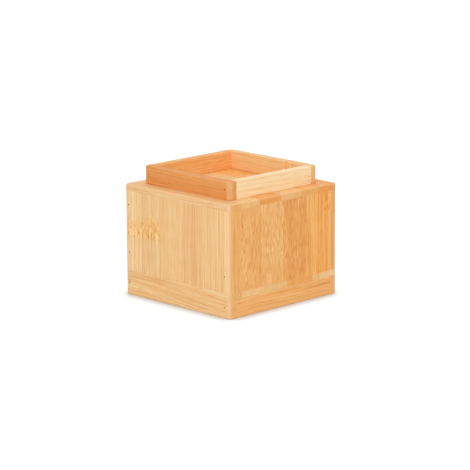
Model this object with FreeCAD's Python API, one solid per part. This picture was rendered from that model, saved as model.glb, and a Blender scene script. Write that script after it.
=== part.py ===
import FreeCAD, Part
import os

# Bed riser: a glued bamboo box with a plinth ring below and a square collar on top.
# The collar and the top board inside it form a square recess that is open at the top.
# Millimetres. The origin is the centre of the footprint, on the floor. +Z is up.
# The front is the -Y side, the right is the +X side.

# Driving sizes of the body
LEDGE_WIDTH = 10.5
PLINTH_HEIGHT = 14.5
BOTTOM_BOARD_THICKNESS = 5.0
WALL_HEIGHT = 62.5
TOP_BOARD_THICKNESS = 5.0
PLINTH_STRIP_THICKNESS = 7.0
WALL_THICKNESS = 7.0

# Driving sizes of the collar
RECESS_WIDTH = 80.0
COLLAR_STRIP_THICKNESS = 7.0
COLLAR_HEIGHT = 14.0

# Edges rounded over after the box is glued up
BODY_CORNER_RADIUS = 3.0
BODY_EDGE_RADIUS = 1.0
COLLAR_CORNER_RADIUS = 4.0
COLLAR_RIM_RADIUS = 0.8

# Brads: headless, driven flush through the front and back pieces
BRAD_DIAMETER = 1.2
BRAD_LENGTH = 18.0
BRAD_HOLE_CLEARANCE = 0.0
BRAD_INSET_BODY = 4.2
BRAD_INSET_FRONT_RIGHT = 5.8
BRAD_INSET_COLLAR = 5.6
PLINTH_BRAD_HEIGHT = 10.0
FRONT_RIGHT_PLINTH_BRAD_HEIGHT = 8.5
WALL_BRAD_HEIGHTS = (33.5, 71.0)
FRONT_RIGHT_WALL_BRAD_HEIGHTS = (32.0,)
COLLAR_BRAD_HEIGHTS = (7.8,)

# Levels and widths that follow from them
BOTTOM_BOARD_Z = PLINTH_HEIGHT
WALL_Z = BOTTOM_BOARD_Z + BOTTOM_BOARD_THICKNESS
TOP_BOARD_Z = WALL_Z + WALL_HEIGHT
LEDGE_Z = TOP_BOARD_Z + TOP_BOARD_THICKNESS
RIM_Z = LEDGE_Z + COLLAR_HEIGHT
COLLAR_WIDTH = RECESS_WIDTH + 2.0 * COLLAR_STRIP_THICKNESS
BODY_WIDTH = COLLAR_WIDTH + 2.0 * LEDGE_WIDTH


def block(x0, x1, y0, y1, z0, z1):
    corner = FreeCAD.Vector(x0, y0, z0)
    return Part.makeBox(x1 - x0, y1 - y0, z1 - z0, corner)


def centred_block(width, z0, z1):
    half = width / 2.0
    return block(-half, half, -half, half, z0, z1)


def upright_edges(shape):
    found = []
    for edge in shape.Edges:
        low = edge.BoundBox.ZMin
        high = edge.BoundBox.ZMax
        if high - low > 0.9 * shape.BoundBox.ZLength:
            found.append(edge)
    return found


def edges_at_level(shape, level):
    found = []
    for edge in shape.Edges:
        low = edge.BoundBox.ZMin
        high = edge.BoundBox.ZMax
        if abs(low - level) < 0.001 and abs(high - level) < 0.001:
            found.append(edge)
    return found


# The rounded outline of the body, which cuts the corners of all its pieces alike
def body_outline():
    shape = centred_block(BODY_WIDTH, 0.0, LEDGE_Z)
    shape = shape.makeFillet(BODY_CORNER_RADIUS, upright_edges(shape))
    rims = edges_at_level(shape, 0.0) + edges_at_level(shape, LEDGE_Z)
    return shape.makeFillet(BODY_EDGE_RADIUS, rims)


# The rounded outline of the collar ring
def collar_outline():
    outer = centred_block(COLLAR_WIDTH, LEDGE_Z, RIM_Z)
    outer = outer.makeFillet(COLLAR_CORNER_RADIUS, upright_edges(outer))
    recess = centred_block(RECESS_WIDTH, LEDGE_Z, RIM_Z)
    ring = outer.cut(recess)
    return ring.makeFillet(COLLAR_RIM_RADIUS, edges_at_level(ring, RIM_Z))


# A square ring of four pieces: front and back run through, left and right fit between them
def ring_pieces(width, thickness, z0, z1, outline):
    half = width / 2.0
    inner = half - thickness
    raw = {
        "front": block(-half, half, -half, -inner, z0, z1),
        "back": block(-half, half, inner, half, z0, z1),
        "left": block(-half, -inner, -inner, inner, z0, z1),
        "right": block(inner, half, -inner, inner, z0, z1),
    }
    pieces = {}
    for side in raw:
        pieces[side] = raw[side].common(outline)
    return pieces


# Places of the brads: x, distance of the face from the middle, height
def brad_places():
    body_half = BODY_WIDTH / 2.0
    collar_half = COLLAR_WIDTH / 2.0
    places = []
    for side in (-1.0, 1.0):
        for facing in (-1.0, 1.0):
            is_front_right = side > 0.0 and facing < 0.0
            body_heights = (PLINTH_BRAD_HEIGHT,) + WALL_BRAD_HEIGHTS
            body_inset = BRAD_INSET_BODY
            if is_front_right:
                body_heights = (FRONT_RIGHT_PLINTH_BRAD_HEIGHT,) + FRONT_RIGHT_WALL_BRAD_HEIGHTS
                body_inset = BRAD_INSET_FRONT_RIGHT
            for height in body_heights:
                body_x = side * (body_half - body_inset)
                places.append((body_x, facing * body_half, height))
            for height in COLLAR_BRAD_HEIGHTS:
                collar_x = side * (collar_half - BRAD_INSET_COLLAR)
                places.append((collar_x, facing * collar_half, LEDGE_Z + height))
    return places


def brad_at(place, diameter, length):
    x, y, z = place
    inward = FreeCAD.Vector(0.0, 1.0, 0.0)
    if y > 0.0:
        inward = FreeCAD.Vector(0.0, -1.0, 0.0)
    return Part.makeCylinder(diameter / 2.0, length, FreeCAD.Vector(x, y, z), inward)


def all_brads(diameter, length):
    return [brad_at(place, diameter, length) for place in brad_places()]


def with_brad_holes(shape, holes):
    for hole in holes:
        if hole.BoundBox.intersect(shape.BoundBox):
            shape = shape.cut(hole)
    return shape


def single_solid(shape):
    solid = shape.Solids[0]
    return solid.removeSplitter()


body = body_outline()
collar = collar_outline()
parts = {}

# Plinth ring, wall panels and collar ring
rings = (
    ("plinth", BODY_WIDTH, PLINTH_STRIP_THICKNESS, 0.0, BOTTOM_BOARD_Z, body),
    ("wall", BODY_WIDTH, WALL_THICKNESS, WALL_Z, TOP_BOARD_Z, body),
    ("collar", COLLAR_WIDTH, COLLAR_STRIP_THICKNESS, LEDGE_Z, RIM_Z, collar),
)
for name, width, thickness, z0, z1, outline in rings:
    pieces = ring_pieces(width, thickness, z0, z1, outline)
    for side in pieces:
        parts[name + "_" + side] = pieces[side]

# Bottom board and top board
parts["bottom_board"] = centred_block(BODY_WIDTH, BOTTOM_BOARD_Z, WALL_Z).common(body)
parts["top_board"] = centred_block(BODY_WIDTH, TOP_BOARD_Z, LEDGE_Z).common(body)

# Brads, and the holes that they leave in the strips and panels
hole_diameter = BRAD_DIAMETER + 2.0 * BRAD_HOLE_CLEARANCE
holes = all_brads(hole_diameter, BRAD_LENGTH)
for name in parts:
    parts[name] = single_solid(with_brad_holes(parts[name], holes))
parts["brads"] = Part.makeCompound(all_brads(BRAD_DIAMETER, BRAD_LENGTH))

os.makedirs("parts", exist_ok=True)
for name in parts:
    parts[name].exportStep("parts/" + name + ".step")
    box = parts[name].BoundBox
    print(name, len(parts[name].Solids), round(parts[name].Volume, 1), parts[name].isValid(),
          [round(v, 2) for v in (box.XMin, box.XMax, box.YMin, box.YMax, box.ZMin, box.ZMax)])
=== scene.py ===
import math
from collections import namedtuple

import bmesh
import bpy
from mathutils import Matrix, Vector


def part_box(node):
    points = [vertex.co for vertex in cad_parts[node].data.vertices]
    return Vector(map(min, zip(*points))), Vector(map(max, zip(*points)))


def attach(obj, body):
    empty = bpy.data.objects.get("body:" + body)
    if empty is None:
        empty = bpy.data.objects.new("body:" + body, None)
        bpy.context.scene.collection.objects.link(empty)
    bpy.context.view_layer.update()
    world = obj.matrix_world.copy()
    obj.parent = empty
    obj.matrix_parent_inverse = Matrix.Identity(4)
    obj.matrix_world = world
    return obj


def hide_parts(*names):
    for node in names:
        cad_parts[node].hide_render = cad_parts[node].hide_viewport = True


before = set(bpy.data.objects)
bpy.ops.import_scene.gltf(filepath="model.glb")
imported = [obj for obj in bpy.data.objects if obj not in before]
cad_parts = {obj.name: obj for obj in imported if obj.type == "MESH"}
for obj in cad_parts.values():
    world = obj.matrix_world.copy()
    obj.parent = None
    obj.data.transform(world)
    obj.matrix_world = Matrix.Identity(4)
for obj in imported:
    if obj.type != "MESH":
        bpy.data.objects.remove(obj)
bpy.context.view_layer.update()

# Plinth ring: four upright strips of solid bamboo under the box, glued into a square and to the bottom
# board. The front and back strips run through, and the side strips fit between them. The corners and the
# bottom edge are rounded over after the whole box is glued up, and every other arris is eased with paper.
MM = 0.001
BODY_CORNER_RADIUS = 3.0 * MM
BODY_EDGE_RADIUS = 1.0 * MM
CORNER_FACETS = 8
EDGE_FACETS = 4
EASED_ARRIS = 0.12 * MM
ARRIS_FACETS = 2
SHARP_FROM = math.radians(50)
NEARLY_NOTHING = 0.01 * MM
SAW_TOLERANCE = 0.001 * MM

body_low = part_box("plinth_front")[0]
body_high = Vector((-body_low.x, -body_low.y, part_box("top_board")[1].z))
BODY_WIDTH = body_high.x - body_low.x


def block(low, high):
    """A squared block of wood between two corners."""
    wood = bmesh.new()
    bmesh.ops.create_cube(wood, size=1.0)
    bmesh.ops.scale(wood, vec=high - low, verts=wood.verts)
    bmesh.ops.translate(wood, vec=(low + high) / 2, verts=wood.verts)
    return wood


def round_over(wood, edges, radius, facets):
    """Rounds edges over, as a router bit does."""
    bmesh.ops.bevel(
        wood, geom=edges, offset=radius, offset_type="OFFSET", segments=facets,
        profile=0.5, affect="EDGES", material=-1, clamp_overlap=True,
    )


def upright_edges(wood):
    """The edges that stand up straight, or nearly."""
    def is_upright(edge):
        rise = edge.verts[0].co - edge.verts[1].co
        return abs(rise.z) > 0.9 * rise.length

    return [edge for edge in wood.edges if is_upright(edge)]


def edges_at(wood, level):
    """The edges that lie at one height."""
    def at_level(vert):
        return abs(vert.co.z - level) < NEARLY_NOTHING

    return [edge for edge in wood.edges if all(at_level(vert) for vert in edge.verts)]


def sharp_edges(edges):
    """Those of some edges that are still square."""
    return [edge for edge in edges if edge.calc_face_angle(0.0) > SHARP_FROM]


def body_blank():
    """The whole box as one rounded block, which all its pieces are sawn from."""
    wood = block(body_low, body_high)
    round_over(wood, upright_edges(wood), BODY_CORNER_RADIUS, CORNER_FACETS)
    rims = edges_at(wood, body_low.z) + edges_at(wood, body_high.z)
    round_over(wood, rims, BODY_EDGE_RADIUS, EDGE_FACETS)
    return wood


def saw(wood, point, away):
    """Saws off what lies beyond a plane and closes the cut."""
    everything = wood.verts[:] + wood.edges[:] + wood.faces[:]
    bmesh.ops.bisect_plane(
        wood, geom=everything, dist=SAW_TOLERANCE, plane_co=point, plane_no=away, clear_outer=True,
    )
    bmesh.ops.holes_fill(wood, edges=[edge for edge in wood.edges if edge.is_boundary], sides=0)


def saw_to(wood, low, high):
    """Saws a blank down to the part of it between two corners."""
    for axis in range(3):
        outward = Vector((0, 0, 0))
        outward[axis] = 1.0
        if max(vert.co[axis] for vert in wood.verts) > high[axis] + NEARLY_NOTHING:
            saw(wood, high, outward)
        if min(vert.co[axis] for vert in wood.verts) < low[axis] - NEARLY_NOTHING:
            saw(wood, low, -outward)


def ease_arrises(wood):
    """Takes the sharpness off every edge that is still square."""
    round_over(wood, sharp_edges(wood.edges), EASED_ARRIS, ARRIS_FACETS)


def sawn_from_body(node):
    """The piece of the rounded box that one CAD node takes up."""
    low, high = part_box(node)
    wood = body_blank()
    saw_to(wood, low, high)
    ease_arrises(wood)
    return wood


def into_mesh(wood, mesh):
    """Writes the finished wood into a mesh, with its faces turned outwards and shaded smooth."""
    bmesh.ops.recalc_face_normals(wood, faces=wood.faces)
    for face in wood.faces:
        face.smooth = True
    wood.to_mesh(mesh)
    wood.free()


meshes = {}


def as_piece(wood, name, material, node):
    """Makes the finished wood a piece that stands for its CAD node, and keeps its mesh for the nailing."""
    mesh = bpy.data.meshes.new(name)
    meshes[node] = mesh
    into_mesh(wood, mesh)
    mesh.materials.append(material)
    piece = bpy.data.objects.new(name, mesh)
    bpy.context.scene.collection.objects.link(piece)
    piece.modifiers.new("flat_faces_stay_flat", "WEIGHTED_NORMAL")
    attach(piece, "root")
    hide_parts(node)


def tone(red, green, blue):
    """A colour as a paint chart gives it, 0 to 255, made linear."""
    def linear(part):
        part = part / 255
        return part / 12.92 if part <= 0.04045 else ((part + 0.055) / 1.055) ** 2.4

    return (linear(red), linear(green), linear(blue))


def put(tree, kind, inputs=(), **settings):
    """Adds a node to a material. An input is a number, a colour or another node's output."""
    node = tree.nodes.new(kind)
    for name, value in settings.items():
        setattr(node, name, value)
    for name, value in dict(inputs).items():
        if isinstance(value, bpy.types.NodeSocket):
            tree.links.new(value, node.inputs[name])
        else:
            node.inputs[name].default_value = value
    return node


def math_of(tree, operation, first, second=0.0, clamp=False):
    """One sum on two values."""
    return put(tree, "ShaderNodeMath", {0: first, 1: second}, operation=operation, use_clamp=clamp).outputs[0]


def times(tree, first, second):
    """One value times another."""
    return math_of(tree, "MULTIPLY", first, second)


def remap(tree, value, from_low, from_high, to_low=0.0, to_high=1.0):
    """Stretches one range of a value to another, and holds it at the ends."""
    inputs = {
        "Value": value, "From Min": from_low, "From Max": from_high, "To Min": to_low, "To Max": to_high,
    }
    return put(tree, "ShaderNodeMapRange", inputs).outputs["Result"]


def in_millimetres(tree):
    """The place on the piece, in millimetres of the frame."""
    place = put(tree, "ShaderNodeTexCoord").outputs["Object"]
    return put(tree, "ShaderNodeVectorMath", {0: place, "Scale": 1.0 / MM}, operation="SCALE").outputs[0]


def streaks(tree, place, along, width, length, seed, detail=1.0, roughness=0.5):
    """Streaks so wide, and so long along the grain, in millimetres, as a value around 0.5."""
    scale = [1.0 / width] * 3
    scale["XYZ".index(along)] = 1.0 / length
    vector = put(tree, "ShaderNodeMapping", {"Vector": place, "Location": seed, "Scale": scale}).outputs[0]
    inputs = {"Vector": vector, "Scale": 1.0, "Detail": detail, "Roughness": roughness}
    return put(tree, "ShaderNodeTexNoise", inputs).outputs["Fac"]


def weaken(tree, amount, weight):
    """Draws a value towards 1, where it changes nothing, as weight goes from 1 to 0."""
    rest = math_of(tree, "SUBTRACT", 1.0, amount)
    return math_of(tree, "SUBTRACT", 1.0, times(tree, rest, weight))


def shade(tree, colour, amount, dark, light):
    """Multiplies a colour by a value between dark and light, as amount goes from 0 to 1."""
    inputs = {"Factor": amount, 4: dark, 5: light}
    blend = put(tree, "ShaderNodeMix", inputs, data_type="VECTOR", clamp_factor=True)
    product = put(tree, "ShaderNodeVectorMath", {0: colour, 1: blend.outputs[1]}, operation="MULTIPLY")
    return product.outputs[0]


def browner(depth):
    """Bamboo browns along one line: it loses most of its blue, less of its green and little of its red."""
    return (math.exp(-0.40 * depth), math.exp(-depth), math.exp(-1.9 * depth))


# Marks in the grain: how wide they are, and how long along the fibres, in millimetres. The widths of the
# pale bands and dark lines are multiplied by line, the width of a fibre bundle in that piece.
BROAD_SHADE = (6.0, 300.0)
PALE_BAND = (1.7, 150.0)
DARK_LINE = (1.0, 80.0)
PORE = (0.3, 14.0)
BLOTCH = (8.0, 22.0)
FLECKED_PATCH = (5.0, 18.0)
FLECK = (0.55, 6.0)
GLINT = (0.8, 7.5)
KNUCKLE_FLAME = (2.6, 30.0)
KNUCKLE_MARK = (1.1, 3.8)
KNUCKLE_LEAN = 0.4
KNUCKLE_SHEEN = (1.08, 1.08, 0.98)
SWAY_WIDTH = 40.0

# The strongest streaks that a strip may have, and the share of them that end grain still shows
MOST_STREAKED = 2.0
END_GRAIN_STREAKS = 0.45

# What end grain does to a tone, and the tone and share of the paleness on rounded corners and level
# edges, which is partly sanded wood and partly a painted highlight
NO_CHANGE = (1.0, 1.0, 1.0)
END_GRAIN = (0.97, 0.90, 0.76)
SANDED_AND_HIGHLIGHT_TONE = tone(228, 190, 149)
SANDED_AND_HIGHLIGHT_SHARE = 0.75
LEVEL_EDGE_SHARE = 0.3


# One glued strip: where it starts across the box in millimetres, its tone, how strongly it is streaked and
# how much it is flecked
Strip = namedtuple("Strip", "start tone streaked flecked")


class BambooLook:
    """The look of one bamboo piece, laid on layer by layer. along is the axis of its grain, and across is
    the axis over its strips."""

    def __init__(self, name, along, across, strips, seed, sway):
        self.material = bpy.data.materials.new(name)
        self.material.use_nodes = True
        self.tree = self.material.node_tree
        self.along = along
        self.across = across
        self.strips = [Strip(*strip) for strip in strips]
        self.seed = seed
        self.find_fibres(sway)
        self.find_facing()

    def find_fibres(self, sway):
        """The place on the piece, and the fibres, which don't run quite straight."""
        self.fibres = in_millimetres(self.tree)
        axes = put(self.tree, "ShaderNodeSeparateXYZ", {0: self.fibres})
        self.sideways = axes.outputs[self.across]
        self.rise = axes.outputs[self.along]
        drift, reach = sway
        wander = self.marks((SWAY_WIDTH, reach), detail=0.0)
        self.fibres = self.shifted(remap(self.tree, wander, 0.25, 0.75, -drift, drift))

    def find_facing(self):
        """How squarely the surface faces each axis. Faces across the grain show the ends of the fibres."""
        normal = put(self.tree, "ShaderNodeNewGeometry").outputs["Normal"]
        normal = put(self.tree, "ShaderNodeSeparateXYZ", {0: normal})
        self.facing = {axis: math_of(self.tree, "ABSOLUTE", normal.outputs[axis]) for axis in "XYZ"}
        self.across_grain = remap(self.tree, self.facing[self.along], 0.5, 0.9)
        self.along_grain = math_of(self.tree, "SUBTRACT", 1.0, self.across_grain)

    def marks(self, size, widened=1.0, **kind):
        """Marks of one width and length along the fibres."""
        width, length = size
        return streaks(self.tree, self.fibres, self.along, width * widened, length, self.seed, **kind)

    def shifted(self, amount):
        """The fibres moved sideways."""
        offset = put(self.tree, "ShaderNodeCombineXYZ", {self.across: amount}).outputs[0]
        return put(self.tree, "ShaderNodeVectorMath", {0: self.fibres, 1: offset}, operation="ADD").outputs[0]

    def tint(self, amount, dark, light):
        """Lays one more layer over the colour."""
        self.colour = shade(self.tree, self.colour, amount, dark, light)

    def by_strip(self, values):
        """A value or colour that steps from strip to strip of a glued-up panel."""
        half = BODY_WIDTH / 2 / MM
        ramp = put(self.tree, "ShaderNodeValToRGB", {0: remap(self.tree, self.sideways, -half, half)})
        ramp.color_ramp.interpolation = "CONSTANT"
        elements = ramp.color_ramp.elements
        elements.remove(elements[1])
        for index, (strip, value) in enumerate(zip(self.strips, values)):
            position = strip.start * MM / BODY_WIDTH
            element = elements[0] if index == 0 else elements.new(position)
            element.position = position
            element.color = (*value, 1.0)
        return ramp.outputs["Color"]

    def glue_up(self):
        """The tone of each strip, and how streaked and flecked it is. A ramp holds no more than 1, so it
        holds the streaks as a share of the strongest."""
        if len(self.strips) > 1:
            self.colour = self.by_strip([strip.tone for strip in self.strips])
            shares = [(strip.streaked / MOST_STREAKED, strip.flecked, 0.0) for strip in self.strips]
            levels = self.by_strip(shares)
            levels = put(self.tree, "ShaderNodeSeparateColor", {0: levels})
            streaked = times(self.tree, levels.outputs[0], MOST_STREAKED)
            flecked = levels.outputs[1]
        else:
            only = self.strips[0]
            self.colour = only.tone
            streaked = only.streaked
            flecked = only.flecked
        shown = remap(self.tree, self.along_grain, 0.0, 1.0, END_GRAIN_STREAKS, 1.0)
        self.streaked = times(self.tree, shown, streaked)
        self.flecked = times(self.tree, flecked, self.along_grain)

    def streak(self, line):
        """Broad shades, pale bands and dark lines of the fibre bundles, and hair-fine pores."""
        broad = remap(self.tree, self.marks(BROAD_SHADE, detail=0.0), 0.3, 0.7)
        self.tint(broad, browner(0.05), browner(-0.03))
        pale = remap(self.tree, self.marks(PALE_BAND, widened=line), 0.5, 0.72)
        self.tint(times(self.tree, pale, self.streaked), NO_CHANGE, browner(-0.13))
        self.bundles = self.marks(DARK_LINE, widened=line, roughness=0.6)
        dark = remap(self.tree, self.bundles, 0.3, 0.5)
        self.tint(weaken(self.tree, dark, self.streaked), browner(0.34), browner(-0.02))
        self.pores = self.marks(PORE)
        self.tint(remap(self.tree, self.pores, 0.28, 0.5), browner(0.24), browner(-0.02))

    def fleck(self):
        """Blotches and short dashes, dark and pale, where a strip was planed into the hard outer wall of
        the cane."""
        blotch = remap(self.tree, self.marks(BLOTCH), 0.35, 0.6)
        self.tint(weaken(self.tree, blotch, self.flecked), browner(0.10), NO_CHANGE)
        patches = remap(self.tree, self.marks(FLECKED_PATCH), 0.35, 0.6, 0.4, 1.0)
        patches = times(self.tree, patches, self.flecked)
        dark = remap(self.tree, self.marks(FLECK), 0.3, 0.5)
        self.tint(weaken(self.tree, dark, patches), browner(0.48), browner(-0.05))
        pale = remap(self.tree, self.marks(GLINT, detail=0.0), 0.5, 0.7)
        self.tint(times(self.tree, pale, patches), NO_CHANGE, browner(-0.28))

    def add_knuckle(self, side_low, side_high, foot, height):
        """A knuckle of the cane: crowded marks that cross, level at the foot and in flames at the top."""
        from_low_side = remap(self.tree, self.sideways, side_low - 0.3, side_low)
        to_high_side = remap(self.tree, self.sideways, side_high, side_high - 0.3)
        flames = self.marks(KNUCKLE_FLAME)
        top = remap(self.tree, flames, 0.32, 0.68, foot + 0.65 * height, foot + 1.35 * height)
        below_top = remap(self.tree, math_of(self.tree, "SUBTRACT", top, self.rise), -1.0, 0.3 * height)
        above_foot = remap(self.tree, self.rise, foot - 1.0, foot + 1.5)
        inside = times(self.tree, from_low_side, to_high_side)
        band = times(self.tree, times(self.tree, above_foot, below_top), inside)
        for lean in (-KNUCKLE_LEAN, KNUCKLE_LEAN):
            leaning = self.shifted(times(self.tree, self.rise, lean))
            mark = streaks(self.tree, leaning, self.along, *KNUCKLE_MARK, self.seed)
            mark = remap(self.tree, mark, 0.34, 0.5)
            self.tint(weaken(self.tree, mark, band), browner(0.38), NO_CHANGE)
        self.tint(band, NO_CHANGE, KNUCKLE_SHEEN)

    def add_pith_scar(self, side, level, width, length):
        """A short brown scar of pith."""
        aside = math_of(self.tree, "DIVIDE", math_of(self.tree, "SUBTRACT", self.sideways, side), width / 2)
        above = math_of(self.tree, "DIVIDE", math_of(self.tree, "SUBTRACT", self.rise, level), length / 2)
        off = math_of(self.tree, "ADD", times(self.tree, aside, aside), times(self.tree, above, above))
        self.tint(remap(self.tree, off, 0.2, 1.0), browner(0.9), NO_CHANGE)

    def draw_glue_lines(self):
        """Thin glue lines between the strips."""
        for strip in self.strips[1:]:
            off = math_of(self.tree, "SUBTRACT", self.sideways, strip.start - BODY_WIDTH / 2 / MM)
            line = remap(self.tree, math_of(self.tree, "ABSOLUTE", off), 0.05, 0.3)
            self.tint(line, browner(0.2), NO_CHANGE)

    def sand_and_paint_highlights(self, share):
        """Pales the rounded corners, whatever the strip, and the level edges a little, as sanded wood and as
        a painted highlight along the rounded edges.
        """
        squarest = math_of(self.tree, "MAXIMUM", self.facing["X"], self.facing["Y"])
        squarest = math_of(self.tree, "MAXIMUM", squarest, self.facing["Z"])
        # Rounded edges take a pale tone that is partly sanded wood and partly a painted highlight.
        rounded = remap(self.tree, squarest, 0.999, 0.98, 0.0, share)
        level = remap(self.tree, self.facing["Z"], 0.1, 0.4, 1.0, LEVEL_EDGE_SHARE)
        inputs = {"Factor": times(self.tree, rounded, level), 6: self.colour, 7: (*SANDED_AND_HIGHLIGHT_TONE, 1.0)}
        self.colour = put(self.tree, "ShaderNodeMix", inputs, data_type="RGBA").outputs[2]

    def show_end_grain(self, end_grain):
        """The tone of the faces across the grain, one for all strips or a list with one for each."""
        if isinstance(end_grain, list):
            end_grain = self.by_strip(end_grain)
        self.tint(self.across_grain, NO_CHANGE, end_grain)

    def show_side_grain(self, side_grain):
        """The tone of the faces that look across the strips."""
        sides = remap(self.tree, self.facing[self.across], 0.5, 0.9)
        self.tint(sides, NO_CHANGE, side_grain)

    def lacquer(self):
        """Satin lacquer, a little rougher in the open streaks."""
        shader = self.tree.nodes["Principled BSDF"]
        self.tree.links.new(self.colour, shader.inputs["Base Color"])
        roughness = remap(self.tree, self.bundles, 0.3, 0.7, 0.60, 0.48)
        self.tree.links.new(roughness, shader.inputs["Roughness"])
        shader.inputs["Specular IOR Level"].default_value = 0.2
        shader.inputs["Coat Weight"].default_value = 0.04
        shader.inputs["Coat Roughness"].default_value = 0.3
        height = math_of(self.tree, "ADD", times(self.tree, self.pores, 0.6), self.bundles)
        bump = put(self.tree, "ShaderNodeBump", {"Height": height, "Strength": 0.25, "Distance": 0.05 * MM})
        self.tree.links.new(bump.outputs[0], shader.inputs["Normal"])


def bamboo(name, along, across, strips, seed, sway=(0.8, 70.0), line=0.75, knuckles=(), pith=(),
           end_grain=END_GRAIN, side_grain=None, sanded_and_highlit=SANDED_AND_HIGHLIGHT_SHARE):
    """Lacquered bamboo. sway is how far the fibres drift sideways and over what length, line is how wide a
    fibre bundle is, and the sanding share is how pale the rounded corners are, partly sanded wood and
    partly a painted highlight. A knuckle is given by its two sides, its foot and its height, and a pith
    scar by its place, width and length, in millimetres."""
    look = BambooLook(name, along, across, strips, seed, sway)
    look.glue_up()
    look.streak(line)
    look.fleck()
    for side_low, side_high, foot, height in knuckles:
        look.add_knuckle(side_low, side_high, foot, height)
    for side, level, width, length in pith:
        look.add_pith_scar(side, level, width, length)
    look.draw_glue_lines()
    look.sand_and_paint_highlights(sanded_and_highlit)
    look.show_end_grain(end_grain)
    if side_grain:
        look.show_side_grain(side_grain)
    look.lacquer()
    return look.material


# Tones of bamboo under clear lacquer
STRAW = tone(238, 194, 136)
HONEY = tone(237, 191, 131)
AMBER = tone(237, 174, 103)

PLINTH_TONES = {"front": HONEY, "back": AMBER, "left": STRAW, "right": AMBER}
PLINTH_PATTERNS = {"front": 5, "back": 1, "left": 2, "right": 3}
PLINTH_END_GRAIN = {
    "front": (0.99, 0.82, 0.66), "back": (0.99, 0.96, 0.92), "left": END_GRAIN, "right": END_GRAIN,
}
PLINTH_STREAKS = 1.3
PLINTH_FLECKS = 0.15
for side, plinth_tone in PLINTH_TONES.items():
    node = "plinth_" + side
    number = PLINTH_PATTERNS[side]
    along = "X" if side in ("front", "back") else "Y"
    finish = bamboo(
        node + "_bamboo", along, "Z", [(0.0, plinth_tone, PLINTH_STREAKS, PLINTH_FLECKS)],
        seed=(3.1 * number, 5.7 + number, 2.3), sway=(3.5, 95.0), end_grain=PLINTH_END_GRAIN[side],
        sanded_and_highlit=0.9,
    )
    as_piece(sawn_from_body(node), node + "_strip", finish, node)

# Bottom board: a thin panel of bamboo strips side by side, glued between the plinth and the walls. Its
# edge is flush with them: long grain at the front and back, end grain at the sides.
WHEAT = tone(242, 200, 143)
BOARD_STRIPS = [
    (0.0, HONEY, 1.0, 0.0), (12.0, WHEAT, 0.8, 0.0), (36.0, STRAW, 0.8, 0.0), (61.0, AMBER, 0.9, 0.0),
    (88.0, HONEY, 0.8, 0.0), (95.5, WHEAT, 0.8, 0.0),
]
DARK_END = (0.95, 0.80, 0.62)
PALE_END = (0.99, 0.95, 0.90)
BOARD_ENDS = [DARK_END, END_GRAIN, END_GRAIN, END_GRAIN, END_GRAIN, PALE_END]
finish = bamboo(
    "bottom_board_bamboo", "X", "Y", BOARD_STRIPS, seed=(1.0, 2.0, 3.0), sway=(1.5, 80.0),
    end_grain=BOARD_ENDS,
)
as_piece(sawn_from_body("bottom_board"), "bottom_board_panel", finish, "bottom_board")

# Wall panels: each is glued up from bamboo strips about 23 mm wide, planed flat, with the grain upright.
# The front and back panels run through and the side panels fit between them, glued and held by brads.
BISCUIT = tone(235, 187, 129)
BUTTERSCOTCH = tone(240, 181, 112)
GOLD = tone(244, 181, 104)
MARIGOLD = tone(241, 167, 85)
ORANGE = tone(234, 164, 92)
WALL_STRIPS = {
    "front": [
        (0.0, WHEAT, 0.6, 0.2), (16.5, STRAW, 0.75, 0.15), (39.5, HONEY, 0.4, 0.1),
        (64.0, BISCUIT, 0.85, 0.05), (86.0, HONEY, 0.85, 0.05), (109.0, WHEAT, 0.9, 0.0),
    ],
    "right": [
        (0.0, AMBER, 0.5, 0.3), (9.0, AMBER, 0.2, 0.9), (32.5, BUTTERSCOTCH, 0.2, 1.0),
        (56.5, ORANGE, 0.2, 1.0), (80.5, GOLD, 1.6, 0.4), (93.5, MARIGOLD, 2.0, 0.5), (104.5, GOLD, 0.4, 0.2),
    ],
    "back": [
        (0.0, HONEY, 0.8, 0.2), (14.0, AMBER, 0.25, 0.9), (38.0, HONEY, 0.9, 0.0), (61.5, STRAW, 1.0, 0.0),
        (84.0, GOLD, 1.2, 0.1), (106.0, BUTTERSCOTCH, 0.9, 0.0),
    ],
    "left": [
        (0.0, STRAW, 0.8, 0.0), (8.0, STRAW, 1.0, 0.0), (31.0, AMBER, 0.25, 0.9), (54.0, HONEY, 0.8, 0.0),
        (78.0, HONEY, 0.7, 0.2), (101.0, AMBER, 1.0, 0.1),
    ],
}
WALL_KNUCKLES = {
    "front": [(-57.5, -41.0, 46.5, 12.0), (-41.0, -18.0, 47.0, 17.0)],
    "right": [(43.5, 57.5, 67.0, 14.0)],
    "back": [(4.0, 26.5, 28.0, 14.0)],
    "left": [(20.5, 43.5, 60.0, 13.0), (-49.5, -26.5, 25.0, 10.0)],
}
WALL_LINES = {"front": 0.9, "right": 0.85, "back": 0.9, "left": 0.9}
WALL_SIDE_GRAIN = {
    "front": (0.93, 0.74, 0.49), "right": END_GRAIN, "back": (0.99, 0.93, 0.84), "left": END_GRAIN,
}
WALL_PITH = {"front": [], "right": [(-44.6, 70.0, 1.3, 6.0)], "back": [(31.0, 62.0, 1.0, 7.0)], "left": []}
for number, (side, strips) in enumerate(WALL_STRIPS.items()):
    node = "wall_" + side
    across = "X" if side in ("front", "back") else "Y"
    finish = bamboo(
        node + "_bamboo", "Z", across, strips, seed=(7.3 * number, 1.7 + number, 4.1), line=WALL_LINES[side],
        knuckles=WALL_KNUCKLES[side], pith=WALL_PITH[side], side_grain=WALL_SIDE_GRAIN[side],
    )
    as_piece(sawn_from_body(node), node + "_panel", finish, node)

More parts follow.
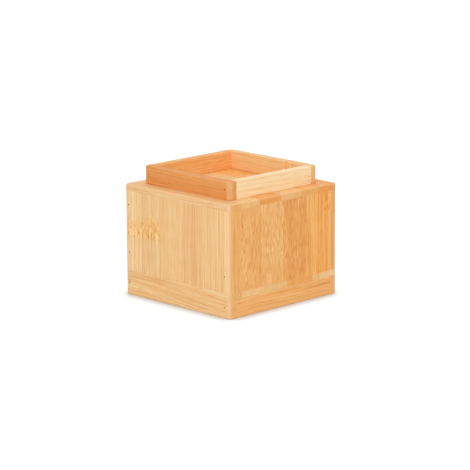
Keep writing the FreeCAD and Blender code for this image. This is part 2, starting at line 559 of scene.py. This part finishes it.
# Top board: a thin panel like the bottom board, glued over the walls. Its rim is the ledge around the
# collar, and its middle is the floor of the recess that the collar forms.
TOP_STRIPS = [
    (0.0, BISCUIT, 0.7, 0.0), (12.0, HONEY, 0.8, 0.0), (31.0, ORANGE, 0.9, 0.3), (53.5, BISCUIT, 0.8, 0.0),
    (76.0, AMBER, 1.0, 0.1), (95.5, ORANGE, 1.0, 0.1),
]
TOP_KNUCKLES = [(-26.5, -4.0, 8.0, 11.0), (18.5, 38.0, -26.0, 12.0)]
TOP_ENDS = [DARK_END] + [END_GRAIN] * 5
finish = bamboo(
    "top_board_bamboo", "X", "Y", TOP_STRIPS, seed=(11.0, 2.0, 3.0), knuckles=TOP_KNUCKLES,
    end_grain=TOP_ENDS, sanded_and_highlit=0.9,
)
as_piece(sawn_from_body("top_board"), "top_board_panel", finish, "top_board")

# Collar ring: four upright strips of solid bamboo glued to the top board around the recess, butted like
# the plinth. Its corners and both edges of its rim are rounded over, and its foot is eased.
COLLAR_CORNER_RADIUS = 4.0 * MM
COLLAR_RIM_RADIUS = 0.8 * MM
COLLAR_FOOT_EASE = 0.35 * MM
collar_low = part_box("collar_front")[0]
collar_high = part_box("collar_back")[1]
collar_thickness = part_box("collar_front")[1].y - collar_low.y


def collar_blank():
    """The whole collar as one ring with rounded corners and rims, which its strips are sawn from."""
    wood = block(collar_low, collar_high)
    caps = [face for face in wood.faces if abs(face.normal.z) > 0.9]
    bmesh.ops.inset_individual(wood, faces=caps, thickness=collar_thickness, use_even_offset=True)
    mouths = [edge for cap in caps for edge in cap.edges]
    bmesh.ops.delete(wood, geom=caps, context="FACES_ONLY")
    bmesh.ops.bridge_loops(wood, edges=mouths)
    bmesh.ops.recalc_face_normals(wood, faces=wood.faces)
    outside = collar_high.x - NEARLY_NOTHING
    corners = [edge for edge in upright_edges(wood) if abs(edge.verts[0].co.x) > outside]
    round_over(wood, corners, COLLAR_CORNER_RADIUS, CORNER_FACETS)
    round_over(wood, sharp_edges(edges_at(wood, collar_high.z)), COLLAR_RIM_RADIUS, EDGE_FACETS)
    return wood


CREAM = tone(248, 216, 167)
CARAMEL = tone(225, 151, 82)
COLLAR_TONES = {
    "front": (CARAMEL, 1.0, 0.15), "back": (HONEY, 1.0, 0.1),
    "left": (AMBER, 1.0, 0.3), "right": (CREAM, 0.6, 0.0),
}
COLLAR_KNUCKLES = {"front": [], "back": [(80.0, 110.0, 18.0, 10.0)], "left": [], "right": []}
COLLAR_FRONT_END_GRAIN = (0.91, 1.06, 1.22)
for number, (side, (collar_tone, streaked, flecked)) in enumerate(COLLAR_TONES.items()):
    node = "collar_" + side
    low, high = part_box(node)
    wood = collar_blank()
    saw_to(wood, low, high)
    round_over(wood, sharp_edges(edges_at(wood, collar_low.z)), COLLAR_FOOT_EASE, ARRIS_FACETS)
    ease_arrises(wood)
    along = "X" if side in ("front", "back") else "Y"
    end_grain = COLLAR_FRONT_END_GRAIN if side == "front" else END_GRAIN
    finish = bamboo(
        node + "_bamboo", along, "Z", [(0.0, collar_tone, streaked, flecked)],
        seed=(3.1 * number, 9.7 + number, 2.3), sway=(1.6, 80.0), knuckles=COLLAR_KNUCKLES[side],
        end_grain=end_grain, sanded_and_highlit=0.2,
    )
    as_piece(wood, node + "_strip", finish, node)

# Brads: headless nails of steel wire, driven through the front and back pieces into the ends of the side
# pieces while the glue dries. Each is set a little under the surface and leaves a small dimple.
BRAD_RADIUS = 0.6 * MM
BRAD_LENGTH = 18.0 * MM
BRAD_SET = 0.2 * MM
BRAD_END_EASE = 0.15 * MM
DIMPLE_RADIUS = 0.66 * MM
DIMPLE_DEPTH = 0.5 * MM
DIMPLE_EASE = 0.06 * MM
DIMPLE_PATCH = 1.3 * MM
BRAD_SIDES = 16
BODY_INSET = 4.2 * MM
COLLAR_INSET = 5.6 * MM
PLINTH_HEIGHT = 10.0 * MM
WALL_HEIGHTS = (33.5 * MM, 71.0 * MM)
COLLAR_HEIGHT = 94.8 * MM
FRONT_RIGHT_INSET = 5.8 * MM
FRONT_RIGHT_PLINTH_HEIGHT = 8.5 * MM
FRONT_RIGHT_WALL_HEIGHTS = (32.0 * MM,)
SIDEWAYS = Vector((1, 0, 0))
UPWARD = Vector((0, 0, 1))


def brad_places(is_front, is_right):
    """The pieces that are nailed at one corner of the riser, with the height and inset of each brad."""
    at_front_right = is_front and is_right
    inset = FRONT_RIGHT_INSET if at_front_right else BODY_INSET
    yield "plinth", FRONT_RIGHT_PLINTH_HEIGHT if at_front_right else PLINTH_HEIGHT, inset
    for height in FRONT_RIGHT_WALL_HEIGHTS if at_front_right else WALL_HEIGHTS:
        yield "wall", height, inset
    yield "collar", COLLAR_HEIGHT, COLLAR_INSET


def face_around(wood, point):
    """The flat face that a point lies on."""
    for face in wood.faces:
        is_level = abs((point - face.verts[0].co).dot(face.normal)) < NEARLY_NOTHING
        if is_level and bmesh.geometry.intersect_face_point(face, point):
            return face
    raise ValueError("no face at the brad")


def edges_among(wood, verts):
    """The edges that join some points, in the order in which the wood has them."""
    chosen = set(verts)
    return [edge for edge in wood.edges if chosen.issuperset(edge.verts)]


def dimple(wood, point, inward):
    """Sinks a small round dimple into the face around a point."""
    for direction in (SIDEWAYS, -SIDEWAYS, UPWARD, -UPWARD):
        patch = face_around(wood, point)
        around = [patch] + patch.edges[:] + patch.verts[:]
        cut = point + DIMPLE_PATCH * direction
        bmesh.ops.bisect_plane(wood, geom=around, plane_co=cut, plane_no=direction)
    patch = face_around(wood, point)
    rim = patch.edges[:]
    bmesh.ops.delete(wood, geom=[patch], context="FACES_ONLY")
    lying = Matrix.Translation(point) @ Matrix.Rotation(math.radians(90), 4, "X")
    ring = bmesh.ops.create_circle(wood, segments=BRAD_SIDES, radius=DIMPLE_RADIUS, matrix=lying)["verts"]
    mouth = edges_among(wood, ring)
    bmesh.ops.triangle_fill(wood, edges=rim + mouth, use_beauty=True, normal=-inward)
    sunk = bmesh.ops.extrude_edge_only(wood, edges=mouth)["geom"]
    bottom = [part for part in sunk if isinstance(part, bmesh.types.BMVert)]
    bmesh.ops.translate(wood, vec=DIMPLE_DEPTH * inward, verts=bottom)
    floor_edges = [part for part in sunk if isinstance(part, bmesh.types.BMEdge) and part.is_boundary]
    bmesh.ops.holes_fill(wood, edges=floor_edges, sides=0)
    round_over(wood, mouth, DIMPLE_EASE, ARRIS_FACETS)


def brad_pin(pins, point, inward):
    """One brad: a round pin with a rubbed head and a blunt point, driven in from a point."""
    turn = inward.to_track_quat("Z", "Y").to_matrix().to_4x4()
    middle = point + (BRAD_SET + (BRAD_LENGTH - BRAD_SET) / 2) * inward
    made = bmesh.ops.create_cone(
        pins, cap_ends=True, segments=BRAD_SIDES, radius1=BRAD_RADIUS, radius2=BRAD_RADIUS,
        depth=BRAD_LENGTH - BRAD_SET, matrix=Matrix.Translation(middle) @ turn,
    )["verts"]
    round_over(pins, sharp_edges(edges_among(pins, made)), BRAD_END_EASE, ARRIS_FACETS)


pins = bmesh.new()
for is_front in (True, False):
    for is_right in (True, False):
        for ring_name, height, inset in brad_places(is_front, is_right):
            node = ring_name + ("_front" if is_front else "_back")
            low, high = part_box(node)
            inward = Vector((0, 1, 0)) if is_front else Vector((0, -1, 0))
            x = high.x - inset if is_right else low.x + inset
            point = Vector((x, low.y if is_front else high.y, height))
            wood = bmesh.new()
            wood.from_mesh(meshes[node])
            dimple(wood, point, inward)
            into_mesh(wood, meshes[node])
            brad_pin(pins, point, inward)

STEEL_BROWN = tone(160, 88, 30)
DARK_SPOT = (0.6, 0.6, 0.6)
PALE_SPOT = (1.4, 1.35, 1.3)
SPOT_SIZE = 0.35


def dull_steel():
    """Dull steel wire, brown at the head and a little spotted."""
    steel = bpy.data.materials.new("brad_steel_dull")
    steel.use_nodes = True
    tree = steel.node_tree
    spots = streaks(tree, in_millimetres(tree), "Y", SPOT_SIZE, SPOT_SIZE, seed=(0.0, 0.0, 0.0), detail=2.0)
    colour = shade(tree, STEEL_BROWN, remap(tree, spots, 0.3, 0.7), DARK_SPOT, PALE_SPOT)
    shader = tree.nodes["Principled BSDF"]
    tree.links.new(colour, shader.inputs["Base Color"])
    tree.links.new(remap(tree, spots, 0.3, 0.7, 0.65, 0.45), shader.inputs["Roughness"])
    shader.inputs["Metallic"].default_value = 0.1
    shader.inputs["Specular IOR Level"].default_value = 0.05
    return steel


as_piece(pins, "brad_pins", dull_steel(), "brads")

# Floor: a plain white sweep of painted board that the riser stands on. It shows white to the camera. The
# riser's soft shadow on it is painted shade: ambient occlusion near the walls darkens the paint's colour
# and glow, darkest close to the walls, with a painted warm bounce there.
FLOOR_HALF = 12.0
FLOOR_GAP = 0.02 * MM
PAINT_GREY = (0.8, 0.8, 0.8, 1.0)
SHADOW_REACH = 15.0 * MM
# The warmth and the darkness of the shadow painted near the walls
PAINTED_BOUNCE_WARMTH = (1.0, 0.90, 0.80)
PAINTED_SHADOW_DARKEST = (0.58, 0.58, 0.58)
SHADOWED_SHARE = 0.4
GLOW = 0.78


def seen_directly(tree):
    """1 for what the camera sees, also in a gloss or through glass, and 0 for light that falls on a thing."""
    rays = put(tree, "ShaderNodeLightPath").outputs
    seen = math_of(tree, "ADD", rays["Is Camera Ray"], rays["Is Glossy Ray"], clamp=True)
    return math_of(tree, "ADD", seen, rays["Is Transmission Ray"], clamp=True)


def show_directly(tree, usual, seen):
    """Shows one shader where the surface is seen directly, and the usual one where it lights things."""
    inputs = {0: seen_directly(tree), 1: usual.outputs[0], 2: seen.outputs[0]}
    return put(tree, "ShaderNodeMixShader", inputs).outputs[0]


def white_paint():
    """White paint that glows enough to look white, with a painted shadow and a painted warm bounce where the
    riser stands close.
    """
    paint = bpy.data.materials.new("white_floor")
    paint.use_nodes = True
    tree = paint.node_tree
    tree.nodes.remove(tree.nodes["Principled BSDF"])
    # Painted shade: the ambient occlusion near the riser darkens the colour and the glow, and warms them
    # close to the walls.
    openness = put(tree, "ShaderNodeAmbientOcclusion", {"Distance": SHADOW_REACH}, samples=32).outputs["AO"]
    painted_bounce = shade(tree, NO_CHANGE, remap(tree, openness, 0.5, 0.75), PAINTED_BOUNCE_WARMTH, NO_CHANGE)
    painted_shadow = shade(tree, painted_bounce, remap(tree, openness, 0.5, 1.0), PAINTED_SHADOW_DARKEST, NO_CHANGE)
    dimmed = put(tree, "ShaderNodeVectorMath", {0: painted_shadow, "Scale": SHADOWED_SHARE}, operation="SCALE")
    shadowed = put(tree, "ShaderNodeBsdfDiffuse", {"Color": dimmed.outputs[0]})
    glow = put(tree, "ShaderNodeEmission", {"Color": painted_shadow, "Strength": GLOW})
    bright = put(tree, "ShaderNodeAddShader", {0: shadowed.outputs[0], 1: glow.outputs[0]})
    plain = put(tree, "ShaderNodeBsdfDiffuse", {"Color": PAINT_GREY})
    surface = tree.nodes["Material Output"].inputs["Surface"]
    tree.links.new(show_directly(tree, plain, bright), surface)
    return paint


sweep = bmesh.new()
bmesh.ops.create_grid(sweep, x_segments=1, y_segments=1, size=FLOOR_HALF)
bmesh.ops.translate(sweep, vec=Vector((0, 0, -FLOOR_GAP)), verts=sweep.verts)
mesh = bpy.data.meshes.new("floor")
sweep.to_mesh(mesh)
sweep.free()
mesh.materials.append(white_paint())
floor = bpy.data.objects.new("floor", mesh)
bpy.context.scene.collection.objects.link(floor)

# Studio light: soft light from all around, a large softbox in front of the near corner and a weaker one
# high up behind. The background is white to the camera.
ALL_AROUND = 0.45
WHITE = (1, 1, 1, 1)
world = bpy.data.worlds.new("studio")
bpy.context.scene.world = world
world.use_nodes = True
tree = world.node_tree
soft = tree.nodes["Background"]
soft.inputs["Color"].default_value = WHITE
soft.inputs["Strength"].default_value = ALL_AROUND
white = put(tree, "ShaderNodeBackground", {"Color": WHITE, "Strength": 1.0})
tree.links.new(show_directly(tree, soft, white), tree.nodes["World Output"].inputs["Surface"])


def softbox(name, azimuth, elevation, distance, size, level):
    """A square softbox that looks at the riser. level is the light that it puts on a face turned to it."""
    turn = math.radians(azimuth)
    tilt = math.radians(elevation)
    towards = Vector((math.sin(turn) * math.cos(tilt), -math.cos(turn) * math.cos(tilt), math.sin(tilt)))
    lamp = bpy.data.lights.new(name, "AREA")
    lamp.shape = "SQUARE"
    lamp.size = size
    lamp.energy = level * (math.pi * distance) ** 2
    box = bpy.data.objects.new(name, lamp)
    turned = towards.to_track_quat("Z", "Y").to_matrix().to_4x4()
    box.matrix_world = Matrix.Translation(towards * distance) @ turned
    bpy.context.scene.collection.objects.link(box)


softbox("key_softbox", azimuth=43, elevation=36, distance=2.2, size=1.2, level=0.645)
softbox("back_softbox", azimuth=215, elevation=62, distance=2.4, size=1.6, level=0.22)

# Camera: a long lens a little above the riser, aimed at its near corner and hardly rolled. Its place in
# metres, its angles and its focal length in millimetres were fitted to the riser's corners.
FOCAL = 186.05
SENSOR_WIDTH = 36
CAMERA_PLACE = Vector((1.30299, -1.27338, 0.46296))
AZIMUTH = math.radians(45.56)
ELEVATION = math.radians(12.886)
ROLL = math.radians(-0.276)
forward = Vector((
    -math.sin(AZIMUTH) * math.cos(ELEVATION), math.cos(AZIMUTH) * math.cos(ELEVATION), -math.sin(ELEVATION),
))
right = Vector((math.cos(AZIMUTH), math.sin(AZIMUTH), 0))
up = right.cross(forward)
rolled_right = math.cos(ROLL) * right + math.sin(ROLL) * up
rolled_up = -math.sin(ROLL) * right + math.cos(ROLL) * up
lens = bpy.data.cameras.new("camera")
lens.lens = FOCAL
lens.sensor_width = SENSOR_WIDTH
camera = bpy.data.objects.new("camera", lens)
turn = Matrix((rolled_right, rolled_up, -forward)).transposed()
camera.matrix_world = Matrix.Translation(CAMERA_PLACE) @ turn.to_4x4()
bpy.context.scene.collection.objects.link(camera)
bpy.context.scene.camera = camera
bpy.context.scene.view_settings.view_transform = "Standard"
